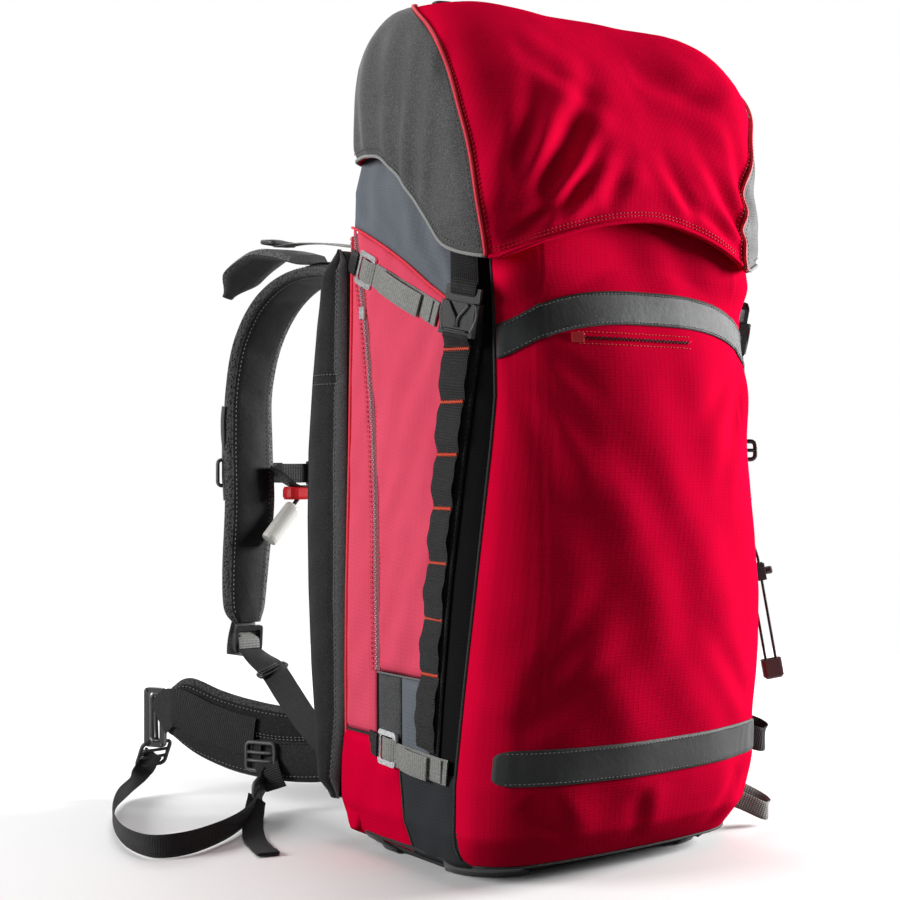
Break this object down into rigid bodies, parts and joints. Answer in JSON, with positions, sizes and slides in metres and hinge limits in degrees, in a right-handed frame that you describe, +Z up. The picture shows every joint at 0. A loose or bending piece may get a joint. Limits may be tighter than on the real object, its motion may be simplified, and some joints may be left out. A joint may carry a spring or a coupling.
{
  "type": "avalanche airbag backpack",
  "caption": "Upright rucksack with a buckled lid, side airbag pockets, padded shoulder straps, hip belt, leg strap and a pull trigger on the left shoulder strap.",
  "frame": {"origin": "middle of the flat base that the pack stands on", "axes": "+Z up; -Y is the front of the bag, away from the wearer; +Y is the wearer's side; -X is the wearer's left"},
  "size_m": [0.5217, 0.5277, 0.708],
  "materials": {
    "red_shell": "fine ripstop polyester, satin sheen",
    "red_side": "red and slate pack cloth panels",
    "black_softshell": "brushed softshell",
    "black_mesh": "padded spacer mesh",
    "black_webbing": "woven webbing",
    "grey_webbing": "woven webbing",
    "black_plastic": "moulded acetal, satin",
    "light_plastic": "moulded, satin",
    "red_plastic": "moulded, satin",
    "silver_metal": "brushed",
    "steel_cartridge": "brushed",
    "frame_sheet": "smooth sheet",
    "frame_rod": "anodised",
    "airbag_cloth": "coated nylon",
    "hose": "smooth",
    "cord": "braided"
  },
  "bodies": {
    "pack": {"main_bag": "red_side", "front_pocket": "red_shell", "back_pad": "black_mesh", "frame_sheet": "frame_sheet", "frame_rod": "frame_rod", "airbag_pocket_left": "black_softshell", "airbag_pocket_right": "black_softshell", "airbag_left": "airbag_cloth", "airbag_right": "airbag_cloth", "inflation_unit": "black_plastic", "inflation_hose_left": "hose", "inflation_hose_right": "hose", "trigger_hose": "hose", "daisy_chain_left": "black_webbing", "daisy_chain_right": "black_webbing", "compression_strap_upper_left": "grey_webbing", "compression_strap_upper_right": "grey_webbing", "compression_strap_lower_left": "grey_webbing", "compression_strap_lower_right": "grey_webbing", "hood_buckle_female_left": "black_plastic", "hood_buckle_female_right": "black_plastic", "load_lifter_left": "grey_webbing", "load_lifter_right": "grey_webbing", "shoulder_webbing_left": "black_webbing", "shoulder_webbing_right": "black_webbing", "leg_strap": "black_webbing", "gear_cord": "cord", "gear_cord_end": "black_plastic"},
    "cartridge": {"gas_cartridge": "steel_cartridge"},
    "lid": {"hood": "red_shell", "hood_strap_left": "black_webbing", "hood_strap_right": "black_webbing", "hood_buckle_male_left": "black_plastic", "hood_buckle_male_right": "black_plastic"},
    "carry_loop": {"grab_loop": "black_webbing"},
    "flap_left": {"airbag_flap_left": "black_softshell"},
    "flap_right": {"airbag_flap_right": "black_softshell"},
    "harness_left": {"shoulder_strap_left": "black_mesh", "trigger_socket": "red_plastic"},
    "harness_right": {"shoulder_strap_right": "black_mesh"},
    "trigger": {"trigger_handle": "light_plastic"},
    "chest_left": {"chest_strap_left": "black_webbing", "chest_buckle_female": "black_plastic"},
    "chest_right": {"chest_strap_right": "black_webbing", "chest_buckle_male": "black_plastic"},
    "adjuster_left": {"shoulder_buckle_left": "black_plastic"},
    "adjuster_right": {"shoulder_buckle_right": "black_plastic"},
    "hip_left": {"hip_wing_left": "black_mesh"},
    "hip_right": {"hip_wing_right": "black_mesh"},
    "hip_frame": {"hip_buckle_frame": "black_plastic"},
    "hip_hook": {"hip_buckle_hook": "silver_metal"},
    "lock_upper_left": {"compression_buckle_upper_left": "silver_metal"},
    "lock_upper_right": {"compression_buckle_upper_right": "silver_metal"},
    "lock_lower_left": {"compression_buckle_lower_left": "silver_metal"},
    "lock_lower_right": {"compression_buckle_lower_right": "silver_metal"},
    "front_zip": {"front_zip_slider": "red_plastic"},
    "side_zip_left": {"side_zip_slider_left": "silver_metal"},
    "side_zip_right": {"side_zip_slider_right": "silver_metal"},
    "cord_lock": {"gear_cord_lock": "black_plastic"},
    "cord_lock_button": {"gear_cord_lock_button": "black_plastic"}
  },
  "joints": [
    {"name": "hood_open", "type": "hinge", "parent": "pack", "child": "lid", "pos_m": [0, 0.09, 0.5], "axis": [-1, 0, 0], "range_deg": [0, 76]},
    {"name": "grab_loop_swing", "type": "hinge", "parent": "pack", "child": "carry_loop", "pos_m": [0, 0.124, 0.496], "axis": [-1, 0, 0], "range_deg": [0, 58]},
    {"name": "airbag_flap_left_open", "type": "hinge", "parent": "pack", "child": "flap_left", "pos_m": [-0.157, 0.0795, 0.27], "axis": [0, 0, 1], "range_deg": [0, 100]},
    {"name": "shoulder_left_swing", "type": "hinge", "parent": "pack", "child": "harness_left", "pos_m": [-0.068, 0.1435, 0.482], "axis": [1, 0, 0], "range_deg": [-8, 10], "deforming": ["load_lifter_left", "shoulder_webbing_left"]},
    {"name": "hip_wing_left_swing", "type": "hinge", "parent": "pack", "child": "hip_left", "pos_m": [-0.0925, 0.16, 0.075], "axis": [0, 0, -1], "range_deg": [-6, 32], "deforming": ["leg_strap"]},
    {"name": "chest_strap_left_height", "type": "slide", "parent": "harness_left", "child": "chest_left", "axis": [0, 0, 1], "range_m": [-0.012, 0.045]},
    {"name": "shoulder_adjuster_left_tilt", "type": "hinge", "parent": "harness_left", "child": "adjuster_left", "pos_m": [-0.102, 0.3475, 0.163], "axis": [1, 0, 0], "range_deg": [-25, 25]},
    {"name": "compression_buckle_upper_left_tilt", "type": "hinge", "parent": "pack", "child": "lock_upper_left", "pos_m": [-0.15265, 0.03754, 0.4863], "axis": [0, -0.4, 0.9165], "range_deg": [0, 30]},
    {"name": "compression_buckle_lower_left_tilt", "type": "hinge", "parent": "pack", "child": "lock_lower_left", "pos_m": [-0.15809, -0.00438, 0.09556], "axis": [0, -0.0513, 0.9987], "range_deg": [0, 30]},
    {"name": "side_zip_left_slide", "type": "slide", "parent": "pack", "child": "side_zip_left", "axis": [0, 0, 1], "range_m": [-0.012, 0.012]},
    {"name": "airbag_flap_right_open", "type": "hinge", "parent": "pack", "child": "flap_right", "pos_m": [0.157, 0.0795, 0.27], "axis": [0, 0, -1], "range_deg": [0, 100]},
    {"name": "shoulder_right_swing", "type": "hinge", "parent": "pack", "child": "harness_right", "pos_m": [0.068, 0.1435, 0.482], "axis": [1, 0, 0], "range_deg": [-8, 10], "deforming": ["load_lifter_right", "shoulder_webbing_right"]},
    {"name": "hip_wing_right_swing", "type": "hinge", "parent": "pack", "child": "hip_right", "pos_m": [0.0925, 0.16, 0.075], "axis": [0, 0, 1], "range_deg": [-6, 32]},
    {"name": "chest_strap_right_height", "type": "slide", "parent": "harness_right", "child": "chest_right", "axis": [0, 0, 1], "range_m": [-0.012, 0.045]},
    {"name": "shoulder_adjuster_right_tilt", "type": "hinge", "parent": "harness_right", "child": "adjuster_right", "pos_m": [0.102, 0.3475, 0.163], "axis": [1, 0, 0], "range_deg": [-25, 25]},
    {"name": "compression_buckle_upper_right_tilt", "type": "hinge", "parent": "pack", "child": "lock_upper_right", "pos_m": [0.15265, 0.03754, 0.4863], "axis": [0, 0.4, -0.9165], "range_deg": [0, 30]},
    {"name": "compression_buckle_lower_right_tilt", "type": "hinge", "parent": "pack", "child": "lock_lower_right", "pos_m": [0.15809, -0.00438, 0.09556], "axis": [0, 0.0513, -0.9987], "range_deg": [0, 30]},
    {"name": "side_zip_right_slide", "type": "slide", "parent": "pack", "child": "side_zip_right", "axis": [0, 0, 1], "range_m": [-0.012, 0.012]},
    {"name": "hip_buckle_frame_swing", "type": "hinge", "parent": "hip_left", "child": "hip_frame", "pos_m": [-0.19562, 0.34345, 0.079], "axis": [0, 0, -1], "range_deg": [-20, 60]},
    {"name": "hip_buckle_hook_swing", "type": "hinge", "parent": "hip_right", "child": "hip_hook", "pos_m": [0.19562, 0.34345, 0.079], "axis": [0, 0, 1], "range_deg": [-20, 60]},
    {"name": "trigger_pull", "type": "slide", "parent": "harness_left", "child": "trigger", "axis": [-0.6605, -0.02, -0.7506], "range_m": [0, 0.05]},
    {"name": "cartridge_screw", "type": "hinge", "parent": "pack", "child": "cartridge", "pos_m": [0, 0.088, 0.2], "axis": [0, 0, 1], "continuous": true},
    {"name": "front_zip_slide", "type": "hinge", "parent": "pack", "child": "front_zip", "pos_m": [0.00009, 0.21939, 0.427], "axis": [0, 0, 1], "range_deg": [0, 18]},
    {"name": "cord_lock_slide", "type": "slide", "parent": "pack", "child": "cord_lock", "axis": [0.1537, -0.0922, -0.9838], "range_m": [0, 0.05]},
    {"name": "cord_lock_button_press", "type": "slide", "parent": "cord_lock", "child": "cord_lock_button", "axis": [-0.7942, 0.5808, -0.1786], "range_m": [0, 0.0026], "stiffness_N_per_m": 250}
  ],
  "couplings": [
    {"joint": "shoulder_right_swing", "follows": "shoulder_left_swing", "ratio": 1},
    {"joint": "chest_strap_right_height", "follows": "chest_strap_left_height", "ratio": 1}
  ]
}
